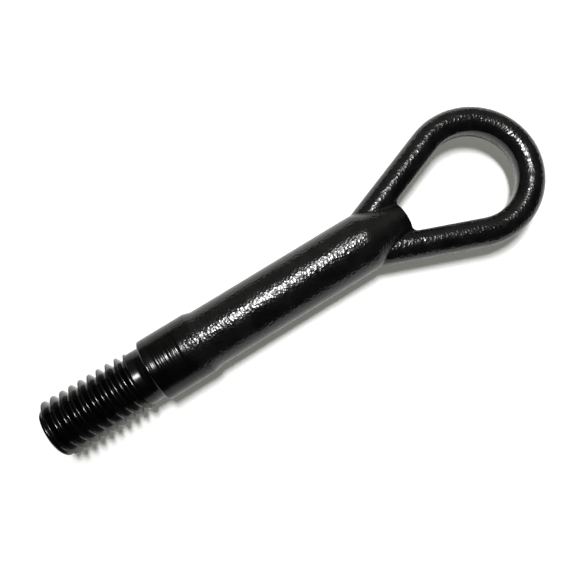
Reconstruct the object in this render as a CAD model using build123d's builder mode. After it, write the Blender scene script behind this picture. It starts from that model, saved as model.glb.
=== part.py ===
# Screw-in tow eye: one forged steel piece with a coarse thread, a turned collar and a teardrop eye.
# It lies as it comes to rest on a table. The shank runs along +X from the thread's end, the eye lies
# level in XY, and the origin is under the middle of the piece, on the surface that it lies on.
import math
import os

from build123d import *

os.makedirs("parts", exist_ok=True)

# Thread, right-hand, with flats on its crest and in its root that are shares of the pitch. Its groove keeps
# its depth nearly to the end of the crest and runs out in the neck
thread_diameter = 22.0
thread_pitch = 3.6
thread_angle = 60.0
thread_length = 33.6
thread_run_out = 1.8
thread_end_chamfer = 1.8
crest_share = 1 / 8
root_share = 1 / 6

# Turned neck and collar. The collar runs out in a gentle taper to the forged shank
neck_diameter = 20.2
neck_length = 6.4
collar_diameter = 24.0
collar_length = 19.0
collar_chamfer = 0.5
collar_run_out = 3.0

# Forged shank, which slopes down to a web between the legs
shank_diameter = 22.3
web_length = 18.8
web_edge_thickness = 11.5

# Eye, a round bar in a teardrop, trimmed flat on its inside where the forging flash was cut off
bar_diameter = 11.0
eye_reach = 118.0
eye_radius = 21.6
leg_angle = 20.8
leg_blend = 1.2
trim_depth = 0.75
opening_length = 47.3
crotch_fillet = 3.0

# The thread's form
flank_slope = math.tan(math.radians(thread_angle / 2))
crest_flat = crest_share * thread_pitch
root_flat = root_share * thread_pitch
thread_depth = (thread_pitch - crest_flat - root_flat) / 2 / flank_slope
root_radius = thread_diameter / 2 - thread_depth

# The cutter that leaves the thread standing reaches a little past the crest. It starts in a lead of a few
# turns before the thread's end, which is cut off afterwards, and it rises out of the metal in the run-out
lead_turns = 3
cutter_overreach = 0.2
groove_height = thread_depth + cutter_overreach
groove_mouth = root_flat + 2 * groove_height * flank_slope
lead_length = lead_turns * thread_pitch
run_out_cone = math.atan2(groove_height, thread_run_out)

# The groove keeps its depth until a little before the crest's end. The crest tapers down to the neck, and the
# taper ends just past the groove's flank
crest_overhang = 0.3
flank_clearance = 0.15
groove_end = thread_length - crest_overhang
groove_turns = math.ceil(groove_end / thread_pitch) + 1
neck_groove = root_flat + 2 * (neck_diameter / 2 - root_radius) * flank_slope
taper_end = groove_end + neck_groove / 2 + flank_clearance

# Places along the axis, from the thread's end
collar_start = thread_length + neck_length
collar_end = collar_start + collar_length
eye_centre = collar_end + eye_reach
inner_radius = eye_radius - bar_diameter / 2 + trim_depth
crotch = eye_centre + inner_radius - opening_length
shank_end = crotch - web_length
overall_length = eye_centre + eye_radius + bar_diameter / 2

# The shank ends in a zone of a ball of its own radius. A cone that touches the ball is the web, and its slope
# brings it down to its edge at the crotch
shank_radius = shank_diameter / 2
web_edge_angle = math.atan2(web_edge_thickness / 2, web_length)
web_edge_distance = math.hypot(web_length, web_edge_thickness / 2)
web_touch_angle = web_edge_angle + math.acos(shank_radius / web_edge_distance)
web_tip = shank_end + shank_radius / math.cos(web_touch_angle)

# The legs' centre lines cross on the axis, inside the shank
leg_crossing = eye_centre - eye_radius / math.sin(math.radians(leg_angle))
arc_half = 90 + leg_angle

# The axis lies a collar's radius above the surface
axis_height = collar_diameter / 2
axis_start = Vector(-overall_length / 2, 0, axis_height)
axis_direction = Vector(1, 0, 0)
shank_axis = Axis(axis_start, axis_direction)
profile_plane = Plane(axis_start, x_dir=axis_direction, z_dir=(0, -1, 0))
eye_plane = Plane(axis_start, x_dir=axis_direction, z_dir=(0, 0, 1))
web_span = (axis_start.X + leg_crossing, axis_start.X + web_tip)


def groove_section(path):
    """The groove's trapezium at the start of a helix, in a plane through the shank's axis."""
    start = path @ 0
    from_end = start - axis_start
    outward = from_end - axis_direction * from_end.dot(axis_direction)
    section_plane = Plane(start, x_dir=axis_direction, z_dir=axis_direction.cross(outward))
    with BuildSketch(section_plane, mode=Mode.PRIVATE) as section:
        with BuildLine():
            Polyline(
                (-root_flat / 2, 0),
                (root_flat / 2, 0),
                (groove_mouth / 2, groove_height),
                (-groove_mouth / 2, groove_height),
                close=True,
            )
        make_face()
    return section.sketch


with BuildPart() as tow_eye:
    # The thread's rod with its lead, the neck, the collar, the shank and the web, turned about the axis
    with BuildSketch(profile_plane):
        with BuildLine():
            Polyline(
                (web_tip, 0),
                (-lead_length, 0),
                (-lead_length, thread_diameter / 2),
                (thread_length, thread_diameter / 2),
                (taper_end, neck_diameter / 2),
                (collar_start, neck_diameter / 2),
                (collar_start, collar_diameter / 2 - collar_chamfer),
                (collar_start + collar_chamfer, collar_diameter / 2),
                (collar_end, collar_diameter / 2),
                (collar_end + collar_run_out, shank_radius),
                (shank_end, shank_radius),
            )
            ball_zone = CenterArc((shank_end, 0), shank_radius, 90, math.degrees(web_touch_angle) - 90)
            Line(ball_zone @ 1, (web_tip, 0))
        make_face()
    revolve(axis=shank_axis)

    # The thread's groove and its run-out
    with BuildLine() as groove_path:
        Helix(
            pitch=thread_pitch,
            height=groove_turns * thread_pitch,
            radius=root_radius,
            center=axis_start + axis_direction * (groove_end - groove_turns * thread_pitch),
            direction=axis_direction,
        )
    sweep(groove_section(groove_path.line), path=groove_path.line, is_frenet=True, mode=Mode.SUBTRACT)
    with BuildLine() as run_out_path:
        Helix(
            pitch=thread_pitch / math.cos(run_out_cone),
            height=thread_run_out,
            radius=root_radius,
            center=axis_start + axis_direction * groove_end,
            direction=axis_direction,
            cone_angle=math.degrees(run_out_cone),
        )
    sweep(groove_section(run_out_path.line), path=run_out_path.line, is_frenet=True, mode=Mode.SUBTRACT)

    # The thread's end, cut square to length and chamfered
    with BuildSketch(profile_plane):
        with BuildLine():
            Polyline(
                (0, 0),
                (0, thread_diameter / 2 - thread_end_chamfer),
                (2 * thread_end_chamfer, thread_diameter / 2 + thread_end_chamfer),
                (-2 * lead_length, thread_diameter / 2 + thread_end_chamfer),
                (-2 * lead_length, 0),
                close=True,
            )
        make_face()
    revolve(axis=shank_axis, mode=Mode.SUBTRACT)

    # Half of the eye's bar, from its tip round the arc and along a leg into the shank, and its mirror image
    with BuildLine(eye_plane) as bar_path:
        bar_arc = CenterArc((eye_centre, 0), eye_radius, 0, arc_half)
        Line(bar_arc @ 1, (leg_crossing, 0))
    with BuildSketch(Plane(bar_path.line @ 0, x_dir=-axis_direction, z_dir=bar_path.line % 0)):
        Circle(bar_diameter / 2)
    half_bar = sweep(path=bar_path.line)
    mirror(half_bar, about=Plane.XZ)

    # The legs run into the web with a small blend
    creases = tow_eye.edges().filter_by(GeomType.BSPLINE)
    fillet(creases.filter_by_position(Axis.X, *web_span), leg_blend)

    # The eye's opening, cut straight through, which leaves the trimmed land on the bar's inside
    with BuildSketch(eye_plane) as opening:
        with BuildLine():
            inner_arc = CenterArc((eye_centre, 0), inner_radius, -arc_half, 2 * arc_half)
            inner_end = inner_arc @ 1
            crotch_half = inner_end.Y - (inner_end.X - crotch) * math.tan(math.radians(leg_angle))
            Polyline(inner_arc @ 1, (crotch, crotch_half), (crotch, -crotch_half), inner_arc @ 0)
        make_face()
        fillet(opening.vertices().group_by(Axis.X)[0], crotch_fillet)
    extrude(amount=axis_height, both=True, mode=Mode.SUBTRACT)

tow_eye.part.label = "tow_eye"
export_step(tow_eye.part, "parts/tow_eye.step")
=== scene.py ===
import math

import bpy
from mathutils import Matrix, Vector


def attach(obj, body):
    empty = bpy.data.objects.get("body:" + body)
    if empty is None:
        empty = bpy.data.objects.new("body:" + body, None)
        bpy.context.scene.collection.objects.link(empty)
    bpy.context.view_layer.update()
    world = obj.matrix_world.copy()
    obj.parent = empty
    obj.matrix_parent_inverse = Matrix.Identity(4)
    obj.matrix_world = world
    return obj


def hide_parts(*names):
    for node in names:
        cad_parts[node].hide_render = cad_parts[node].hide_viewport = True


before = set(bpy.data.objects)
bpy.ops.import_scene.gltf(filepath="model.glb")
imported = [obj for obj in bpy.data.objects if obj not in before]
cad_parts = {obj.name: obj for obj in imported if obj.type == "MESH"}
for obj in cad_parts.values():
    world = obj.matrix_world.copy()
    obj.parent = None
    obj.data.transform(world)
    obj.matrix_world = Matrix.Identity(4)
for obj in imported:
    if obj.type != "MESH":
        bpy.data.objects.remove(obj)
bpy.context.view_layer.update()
scene = bpy.context.scene
print("frame loaded:", sorted(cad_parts))


# small helpers for node trees
def makeGroup(name, kind, inputs, outputs):
    tree = bpy.data.node_groups.new(name, kind)
    for label, socketType, value in inputs:
        socket = tree.interface.new_socket(label, in_out="INPUT", socket_type=socketType)
        if value is not None:
            socket.default_value = value
    for label, socketType in outputs:
        tree.interface.new_socket(label, in_out="OUTPUT", socket_type=socketType)
    return tree, tree.nodes.new("NodeGroupInput"), tree.nodes.new("NodeGroupOutput")


def addNode(tree, kind, settings=None, values=None):
    node = tree.nodes.new(kind)
    for key, value in (settings or {}).items():
        setattr(node, key, value)
    for key, value in (values or {}).items():
        setInput(tree, node.inputs[key], value)
    return node


def setInput(tree, socket, value):
    if isinstance(value, bpy.types.NodeSocket):
        tree.links.new(value, socket)
    else:
        socket.default_value = value


def addMath(tree, operation, *values):
    return addNode(tree, "ShaderNodeMath", {"operation": operation}, dict(enumerate(values))).outputs[0]


def addRange(tree, value, fromLow, fromHigh, toLow, toHigh):
    settings = {"interpolation_type": "SMOOTHSTEP"}
    values = {
        "Value": value,
        "From Min": fromLow,
        "From Max": fromHigh,
        "To Min": toLow,
        "To Max": toHigh,
    }
    return addNode(tree, "ShaderNodeMapRange", settings, values).outputs["Result"]


def addParts(tree, vector):
    return addNode(tree, "ShaderNodeSeparateXYZ", None, {0: vector}).outputs


# a mix node's colours go by number, because its sockets for other data have the same names
def addMix(tree, factor, first, second):
    values = {"Factor": factor, 6: first, 7: second}
    return addNode(tree, "ShaderNodeMix", {"data_type": "RGBA"}, values).outputs[2]


# two heights from 0 to 1, each with its share, as one height about 0
def addBlend(tree, first, second, secondShare):
    firstShare = addMath(tree, "SUBTRACT", 1.0, secondShare)
    height = addMath(
        tree,
        "ADD",
        addMath(tree, "MULTIPLY", first, firstShare),
        addMath(tree, "MULTIPLY", second, secondShare),
    )
    return addMath(tree, "SUBTRACT", height, 0.5)


# relief left by the forging die: dimples, and short streaks that lie slantwise to the shank
def makeForgedRelief():
    tree, given, result = makeGroup(
        "forgedRelief",
        "ShaderNodeTree",
        [
            ("Vector", "NodeSocketVector", None),
            ("Dimple Size", "NodeSocketFloat", 0.0009),
            ("Streak Length", "NodeSocketFloat", 0.0022),
            ("Streak Width", "NodeSocketFloat", 0.0006),
            ("Streak Turn", "NodeSocketFloat", math.radians(60)),
            ("Streak Share", "NodeSocketFloat", 0.3),
        ],
        [("Height", "NodeSocketFloat")],
    )
    dimpleScale = addMath(tree, "DIVIDE", 1.0, given.outputs["Dimple Size"])
    cells = addNode(
        tree,
        "ShaderNodeTexVoronoi",
        {"feature": "SMOOTH_F1"},
        {"Vector": given.outputs["Vector"], "Scale": dimpleScale, "Smoothness": 0.25},
    ).outputs["Distance"]
    dimples = addMath(tree, "MULTIPLY", cells, cells)
    turn = addNode(tree, "ShaderNodeCombineXYZ", None, {"Z": given.outputs["Streak Turn"]})
    stretch = addNode(
        tree,
        "ShaderNodeCombineXYZ",
        None,
        {
            "X": given.outputs["Streak Length"],
            "Y": given.outputs["Streak Width"],
            "Z": given.outputs["Streak Length"],
        },
    )
    slant = addNode(
        tree,
        "ShaderNodeMapping",
        {"vector_type": "TEXTURE"},
        {"Vector": given.outputs["Vector"], "Rotation": turn.outputs[0], "Scale": stretch.outputs[0]},
    )
    streaks = addNode(
        tree, "ShaderNodeTexNoise", None, {"Vector": slant.outputs[0], "Scale": 1.0, "Detail": 2.0}
    ).outputs[0]
    height = addBlend(tree, dimples, streaks, given.outputs["Streak Share"])
    setInput(tree, result.inputs["Height"], height)
    return tree


# rings that the lathe left: they change only along the shank
def makeTurnedRings():
    tree, given, result = makeGroup(
        "turnedRings",
        "ShaderNodeTree",
        [
            ("Vector", "NodeSocketVector", None),
            ("Band Width", "NodeSocketFloat", 0.0026),
            ("Tool Pitch", "NodeSocketFloat", 0.0007),
            ("Tool Share", "NodeSocketFloat", 0.35),
        ],
        [("Height", "NodeSocketFloat")],
    )
    along = addParts(tree, given.outputs["Vector"])["X"]
    rings = []
    for width in (given.outputs["Band Width"], given.outputs["Tool Pitch"]):
        values = {"W": addMath(tree, "DIVIDE", along, width), "Scale": 1.0, "Detail": 1.0}
        rings.append(addNode(tree, "ShaderNodeTexNoise", {"noise_dimensions": "1D"}, values).outputs[0])
    height = addBlend(tree, *rings, given.outputs["Tool Share"])
    setInput(tree, result.inputs["Height"], height)
    return tree


# crests and roots of a rolled thread aren't quite flat: a crown on each crest and a hollow in each root
def makeThreadCrown():
    tree, given, result = makeGroup(
        "threadCrown",
        "ShaderNodeTree",
        [
            ("Vector", "NodeSocketVector", None),
            ("Pitch", "NodeSocketFloat", 0.0036),
            ("Crest Turn", "NodeSocketFloat", 0.1527),
            ("Axis Height", "NodeSocketFloat", 0.012),
            ("Crest Share", "NodeSocketFloat", 0.135),
            ("Root Share", "NodeSocketFloat", 0.175),
        ],
        [("Height", "NodeSocketFloat")],
    )
    parts = addParts(tree, given.outputs["Vector"])
    above = addMath(tree, "SUBTRACT", parts["Z"], given.outputs["Axis Height"])
    swing = addMath(tree, "DIVIDE", addMath(tree, "ARCTAN2", above, parts["Y"]), math.tau)
    turns = addMath(tree, "SUBTRACT", addMath(tree, "DIVIDE", parts["X"], given.outputs["Pitch"]), swing)
    fromCrest = addMath(tree, "SUBTRACT", turns, given.outputs["Crest Turn"])
    wave = addMath(tree, "COSINE", addMath(tree, "MULTIPLY", fromCrest, math.tau))
    crestEdge = addMath(tree, "COSINE", addMath(tree, "MULTIPLY", given.outputs["Crest Share"], math.pi))
    rootEdge = addMath(tree, "COSINE", addMath(tree, "MULTIPLY", given.outputs["Root Share"], math.pi))
    crown = addMath(tree, "MAXIMUM", addMath(tree, "SUBTRACT", wave, crestEdge), 0.0)
    hollow = addMath(tree, "MINIMUM", addMath(tree, "ADD", wave, rootEdge), 0.0)
    setInput(tree, result.inputs["Height"], addMath(tree, "ADD", crown, hollow))
    return tree


# the neck is turned a little hollow: it slopes down from both ends to its middle
def makeNeckHollow():
    tree, given, result = makeGroup(
        "neckHollow",
        "ShaderNodeTree",
        [
            ("Vector", "NodeSocketVector", None),
            ("Middle", "NodeSocketFloat", -0.0648),
            ("Half Length", "NodeSocketFloat", 0.00275),
            ("Roundness", "NodeSocketFloat", 1.3),
        ],
        [("Height", "NodeSocketFloat")],
    )
    along = addParts(tree, given.outputs["Vector"])["X"]
    fromMiddle = addMath(tree, "ABSOLUTE", addMath(tree, "SUBTRACT", along, given.outputs["Middle"]))
    share = addMath(tree, "MINIMUM", addMath(tree, "DIVIDE", fromMiddle, given.outputs["Half Length"]), 1.0)
    setInput(tree, result.inputs["Height"], addMath(tree, "POWER", share, given.outputs["Roundness"]))
    return tree


# the land that was trimmed on the eye's inside is a little fuller at the middle of its height
def makeLandCrown():
    tree, given, result = makeGroup(
        "landCrown",
        "ShaderNodeTree",
        [
            ("Vector", "NodeSocketVector", None),
            ("Middle", "NodeSocketFloat", 0.012),
            ("Half Height", "NodeSocketFloat", 0.0028),
        ],
        [("Height", "NodeSocketFloat")],
    )
    level = addParts(tree, given.outputs["Vector"])["Z"]
    fromMiddle = addMath(tree, "SUBTRACT", level, given.outputs["Middle"])
    share = addMath(tree, "DIVIDE", fromMiddle, given.outputs["Half Height"])
    squared = addMath(tree, "MULTIPLY", share, share)
    setInput(tree, result.inputs["Height"], addMath(tree, "MULTIPLY", squared, -1.0))
    return tree


# the film of paint itself: where it is duller, a faint mottle in its black, and painted shade that darkens
# its black on the turned metal
def makePaintFilm():
    tree, given, result = makeGroup(
        "paintFilm",
        "ShaderNodeTree",
        [
            ("Vector", "NodeSocketVector", None),
            ("Patch Size", "NodeSocketFloat", 0.006),
            ("Glossy", "NodeSocketFloat", 0.1),
            ("Dull", "NodeSocketFloat", 0.2),
            ("Deep", "NodeSocketColor", (0.0028, 0.0028, 0.0032, 1)),
            ("Thin", "NodeSocketColor", (0.006, 0.006, 0.0058, 1)),
            ("Turned Until", "NodeSocketFloat", -0.0485),
            ("Forged From", "NodeSocketFloat", -0.0445),
            ("Turned Painted Shade", "NodeSocketFloat", 0.35),
        ],
        [("Color", "NodeSocketColor"), ("Roughness", "NodeSocketFloat")],
    )
    patchScale = addMath(tree, "DIVIDE", 1.0, given.outputs["Patch Size"])
    patches = addNode(
        tree,
        "ShaderNodeTexNoise",
        None,
        {"Vector": given.outputs["Vector"], "Scale": patchScale, "Detail": 4.0, "Roughness": 0.6},
    ).outputs[0]
    patchSpan = (0.35, 0.7)
    share = addRange(tree, patches, *patchSpan, 0.0, 1.0)
    rough = addNode(
        tree,
        "ShaderNodeMapRange",
        None,
        {"Value": share, "To Min": given.outputs["Glossy"], "To Max": given.outputs["Dull"]},
    )
    black = addMix(tree, share, given.outputs["Deep"], given.outputs["Thin"])
    # painted shade: the black is darkened to a share of itself over the turned collar, neck, thread and end,
    # rising to the full black over the collar's last few millimetres
    along = addParts(tree, given.outputs["Vector"])["X"]
    zone = (given.outputs["Turned Until"], given.outputs["Forged From"])
    paintedShadeShare = addRange(tree, along, *zone, given.outputs["Turned Painted Shade"], 1.0)
    shaded = addNode(tree, "ShaderNodeVectorMath", {"operation": "SCALE"}, {0: black, "Scale": paintedShadeShare})
    setInput(tree, result.inputs["Color"], shaded.outputs[0])
    setInput(tree, result.inputs["Roughness"], rough.outputs["Result"])
    return tree


forgedRelief = makeForgedRelief()
turnedRings = makeTurnedRings()
threadCrown = makeThreadCrown()
neckHollow = makeNeckHollow()
landCrown = makeLandCrown()
paintFilm = makePaintFilm()
print("node groups made")


def makePaint(name, paint):
    material = bpy.data.materials.new(name)
    material.use_nodes = True
    tree = material.node_tree
    shader = tree.nodes["Principled BSDF"]
    place = tree.nodes.new("ShaderNodeTexCoord").outputs["Object"]
    film = addNode(tree, "ShaderNodeGroup", {"node_tree": paintFilm}, {"Vector": place, **paint["film"]})
    setInput(tree, shader.inputs["Base Color"], film.outputs["Color"])
    setInput(tree, shader.inputs["Roughness"], film.outputs["Roughness"])
    shader.inputs["Specular IOR Level"].default_value = paint["specular"]
    shader.inputs["IOR"].default_value = 1.5
    along = addParts(tree, place)["X"]
    normal = None
    for relief in paint["reliefs"]:
        values = {"Vector": place, **relief.get("sizes", {})}
        height = addNode(tree, "ShaderNodeGroup", {"node_tree": relief["group"]}, values).outputs["Height"]
        for fade in relief.get("fades", []):
            height = addMath(tree, "MULTIPLY", height, addRange(tree, along, *fade, 0.0, 1.0))
        bump = addNode(tree, "ShaderNodeBump", None, {"Height": height, "Distance": relief["depth"]})
        if normal is not None:
            tree.links.new(normal, bump.inputs["Normal"])
        normal = bump.outputs["Normal"]
    tree.links.new(normal, shader.inputs["Normal"])
    return material


# the paint of each zone: how dull its film is, how much it mirrors, and the reliefs under it. A fade brings
# a relief in between two places along the shank, from none at the first to all of it at the second
paints = {
    "forgedPaint": {
        "film": {"Glossy": 0.17, "Dull": 0.24},
        "specular": 0.5,
        "reliefs": [{"group": forgedRelief, "depth": 0.00013}],
    },
    "turnedPaint": {
        "film": {"Glossy": 0.17, "Dull": 0.24},
        "specular": 0.3,
        "reliefs": [
            {"group": turnedRings, "depth": 0.00038, "fades": [(-0.0455, -0.048), (-0.0655, -0.0615)]},
            {"group": neckHollow, "depth": 0.0004},
            {"group": forgedRelief, "sizes": {"Dimple Size": 0.0008}, "depth": 0.00001},
            {"group": forgedRelief, "depth": 0.00013, "fades": [(-0.0485, -0.0455)]},
        ],
    },
    "threadPaint": {
        "film": {"Glossy": 0.17, "Dull": 0.26},
        "specular": 0.45,
        "reliefs": [{"group": threadCrown, "depth": 0.00034}, {"group": forgedRelief, "depth": 0.00001}],
    },
    "trimmedPaint": {
        "film": {"Glossy": 0.22, "Dull": 0.34},
        "specular": 0.45,
        "reliefs": [
            {"group": landCrown, "depth": 0.0005},
            {"group": forgedRelief, "sizes": {"Dimple Size": 0.0014}, "depth": 0.00008},
        ],
    },
}
materials = {name: makePaint(name, paint) for name, paint in paints.items()}
print("paints made:", ", ".join(materials))


# the painted skin follows the solid: welded, shaded smooth up to its real edges, and painted zone by zone
skin = {
    "sizes": {
        "Weld Distance": 0.000002,
        "Edge Angle": math.radians(22),
        "End Until": -0.1019,
        "Thread Until": -0.0681,
        "Collar Until": -0.043,
        "Land From": 0.041,
        "Land Centre": (0.07, 0.0, 0.012),
        "Land Upright": 0.3,
    },
    "roundedAngle": math.radians(35),
    "roundedWidth": 0.00008,
    "roundedSteps": 2,
}


def makeSkinTree():
    inputs = [("Geometry", "NodeSocketGeometry", None)]
    for label, value in skin["sizes"].items():
        socketType = "NodeSocketVector" if isinstance(value, tuple) else "NodeSocketFloat"
        inputs.append((label, socketType, value))
    outputs = [("Geometry", "NodeSocketGeometry")]
    tree, given, result = makeGroup("paintedSkin", "GeometryNodeTree", inputs, outputs)
    weld = addNode(
        tree,
        "GeometryNodeMergeByDistance",
        None,
        {"Geometry": given.outputs["Geometry"], "Distance": given.outputs["Weld Distance"]},
    )
    smooth = addNode(
        tree,
        "GeometryNodeSetShadeSmooth",
        {"domain": "FACE"},
        {"Geometry": weld.outputs[0], "Shade Smooth": True},
    )
    edgeAngle = tree.nodes.new("GeometryNodeInputMeshEdgeAngle").outputs["Unsigned Angle"]
    place = tree.nodes.new("GeometryNodeInputPosition").outputs[0]
    along = addParts(tree, place)["X"]
    edges = addNode(
        tree,
        "GeometryNodeSetShadeSmooth",
        {"domain": "EDGE"},
        {
            "Geometry": smooth.outputs[0],
            "Selection": addMath(tree, "GREATER_THAN", edgeAngle, given.outputs["Edge Angle"]),
            "Shade Smooth": False,
        },
    )
    normal = tree.nodes.new("GeometryNodeInputNormal").outputs[0]
    upright = addMath(tree, "ABSOLUTE", addParts(tree, normal)["Z"])
    fromCentre = addNode(
        tree, "ShaderNodeVectorMath", {"operation": "SUBTRACT"}, {0: place, 1: given.outputs["Land Centre"]}
    ).outputs[0]
    facing = addNode(
        tree, "ShaderNodeVectorMath", {"operation": "DOT_PRODUCT"}, {0: fromCentre, 1: normal}
    ).outputs["Value"]
    onLand = addMath(
        tree,
        "MULTIPLY",
        addMath(tree, "GREATER_THAN", along, given.outputs["Land From"]),
        addMath(
            tree,
            "MULTIPLY",
            addMath(tree, "LESS_THAN", upright, given.outputs["Land Upright"]),
            addMath(tree, "LESS_THAN", facing, 0.0),
        ),
    )
    zones = [
        ("forgedPaint", True),
        ("turnedPaint", addMath(tree, "LESS_THAN", along, given.outputs["Collar Until"])),
        ("threadPaint", addMath(tree, "LESS_THAN", along, given.outputs["Thread Until"])),
        ("turnedPaint", addMath(tree, "LESS_THAN", along, given.outputs["End Until"])),
        ("trimmedPaint", onLand),
    ]
    flow = addNode(tree, "GeometryNodeRealizeInstances", None, {"Geometry": edges.outputs[0]}).outputs[0]
    for name, where in zones:
        painted = addNode(
            tree,
            "GeometryNodeSetMaterial",
            None,
            {"Geometry": flow, "Selection": where, "Material": materials[name]},
        )
        flow = painted.outputs[0]
    setInput(tree, result.inputs["Geometry"], flow)
    return tree


def makeSkin(node):
    tree = makeSkinTree()
    draft = bpy.data.objects.new("skinDraft", node.data.copy())
    scene.collection.objects.link(draft)
    nodesModifier = draft.modifiers.new("paintedSkin", "NODES")
    nodesModifier.node_group = tree
    for item in tree.interface.items_tree:
        if item.in_out == "INPUT" and item.name in skin["sizes"]:
            nodesModifier[item.identifier] = skin["sizes"][item.name]
    rounded = draft.modifiers.new("roundedEdges", "BEVEL")
    rounded.limit_method = "ANGLE"
    rounded.angle_limit = skin["roundedAngle"]
    rounded.width = skin["roundedWidth"]
    rounded.segments = skin["roundedSteps"]
    weighted = draft.modifiers.new("weightedNormals", "WEIGHTED_NORMAL")
    weighted.mode = "FACE_AREA_WITH_ANGLE"
    weighted.keep_sharp = True
    graph = bpy.context.evaluated_depsgraph_get()
    mesh = bpy.data.meshes.new_from_object(draft.evaluated_get(graph), depsgraph=graph)
    bpy.data.objects.remove(draft)
    piece = bpy.data.objects.new("towEyeSkin", mesh)
    scene.collection.objects.link(piece)
    return piece


towEyeSkin = makeSkin(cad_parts["tow_eye"])
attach(towEyeSkin, "root")
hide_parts("tow_eye")
print("skin made:", len(towEyeSkin.data.polygons), "faces,", len(towEyeSkin.data.materials), "paints")


# white table, a little glossy. A weak glow keeps its shadows pale, and the camera sees it white to its edge
table = {
    "size": 3.0,
    "color": (0.95, 0.95, 0.95, 1),
    "roughness": 0.38,
    "glow": 0.16,
    "glowColor": (1, 1, 0.9, 1),
    "farFrom": 0.13,
    "farUntil": 0.45,
}


def makeTable():
    half = table["size"] / 2
    mesh = bpy.data.meshes.new("tableTop")
    corners = [(-half, -half, 0), (half, -half, 0), (half, half, 0), (-half, half, 0)]
    mesh.from_pydata(corners, [], [(0, 1, 2, 3)])
    top = bpy.data.objects.new("tableTop", mesh)
    scene.collection.objects.link(top)
    material = bpy.data.materials.new("tableWhite")
    material.use_nodes = True
    tree = material.node_tree
    shader = tree.nodes["Principled BSDF"]
    shader.inputs["Base Color"].default_value = table["color"]
    shader.inputs["Roughness"].default_value = table["roughness"]
    path = tree.nodes.new("ShaderNodeLightPath").outputs
    seen = addMath(tree, "MAXIMUM", path["Is Camera Ray"], path["Is Glossy Ray"])
    place = tree.nodes.new("ShaderNodeTexCoord").outputs["Object"]
    distance = addNode(tree, "ShaderNodeVectorMath", {"operation": "LENGTH"}, {0: place}).outputs["Value"]
    far = addRange(tree, distance, table["farFrom"], table["farUntil"], 0.0, 1.0)
    strength = addMath(
        tree,
        "ADD",
        addMath(tree, "MULTIPLY", seen, table["glow"]),
        addMath(tree, "MULTIPLY", path["Is Camera Ray"], far),
    )
    glow = addNode(tree, "ShaderNodeEmission", None, {"Color": table["glowColor"], "Strength": strength})
    both = addNode(tree, "ShaderNodeAddShader", None, {0: shader.outputs[0], 1: glow.outputs[0]})
    tree.links.new(both.outputs[0], tree.nodes["Material Output"].inputs["Surface"])
    mesh.materials.append(material)


makeTable()
print("table made")


# two soft panels overhead, set back from the camera, in a room that is dark on the camera's side. The camera
# itself sees a white backdrop
panels = {
    "shankPanel": {"place": (0.06, 0.215, 1.2), "size": (0.15, 0.28), "turn": 0, "power": 13.5},
    "eyePanel": {"place": (0.36, 0.43, 1.2), "size": (0.2, 0.12), "turn": -22, "power": 2.6},
}
room = {
    "back": (0.22, 0.22, 0.2, 1),
    "front": (0.012, 0.012, 0.014, 1),
    "skirting": (0.04, 0.04, 0.04, 1),
    "backdrop": (1, 1, 1, 1),
    "depthFade": (-0.2, 0.4),
    "sideFade": (-0.35, 0.1),
    "leftShare": 0.25,
    "heightFade": (0.02, 0.3),
}


def makeLight():
    for name, panel in panels.items():
        lamp = bpy.data.lights.new(name, "AREA")
        lamp.shape = "RECTANGLE"
        lamp.size, lamp.size_y = panel["size"]
        lamp.energy = panel["power"]
        holder = bpy.data.objects.new(name, lamp)
        scene.collection.objects.link(holder)
        holder.location = panel["place"]
        holder.rotation_euler.z = math.radians(panel["turn"])

    world = bpy.data.worlds.new("room")
    scene.world = world
    world.use_nodes = True
    tree = world.node_tree
    direction = tree.nodes.new("ShaderNodeTexCoord").outputs["Generated"]
    parts = addParts(tree, direction)
    sideShare = addRange(tree, parts["X"], *room["sideFade"], room["leftShare"], 1.0)
    depthShare = addRange(tree, parts["Y"], *room["depthFade"], 0.0, 1.0)
    backShare = addMath(tree, "MULTIPLY", depthShare, sideShare)
    heightShare = addRange(tree, parts["Z"], *room["heightFade"], 0.0, 1.0)
    walls = addMix(tree, backShare, room["front"], room["back"])
    whole = addMix(tree, heightShare, room["skirting"], walls)
    path = tree.nodes.new("ShaderNodeLightPath").outputs
    seen = addMix(tree, path["Is Camera Ray"], whole, room["backdrop"])
    setInput(tree, tree.nodes["Background"].inputs["Color"], seen)


makeLight()
print("light made")


# camera of the photograph, close above the shank
camera = {
    "place": (-0.02305, -0.028, 0.234),
    "azimuth": -31.71,
    "elevation": 81.49,
    "lens": 38.59,
    "nearLimit": 0.005,
}


def makeCamera():
    data = bpy.data.cameras.new("photoCamera")
    data.lens = camera["lens"]
    data.clip_start = camera["nearLimit"]
    holder = bpy.data.objects.new("photoCamera", data)
    scene.collection.objects.link(holder)
    turn = math.radians(camera["azimuth"])
    tilt = math.radians(90 - camera["elevation"])
    basis = Matrix.Rotation(turn, 4, "Z") @ Matrix.Rotation(tilt, 4, "X")
    holder.matrix_world = Matrix.Translation(Vector(camera["place"])) @ basis
    scene.camera = holder


makeCamera()
scene.view_settings.view_transform = "Standard"
print("camera made")
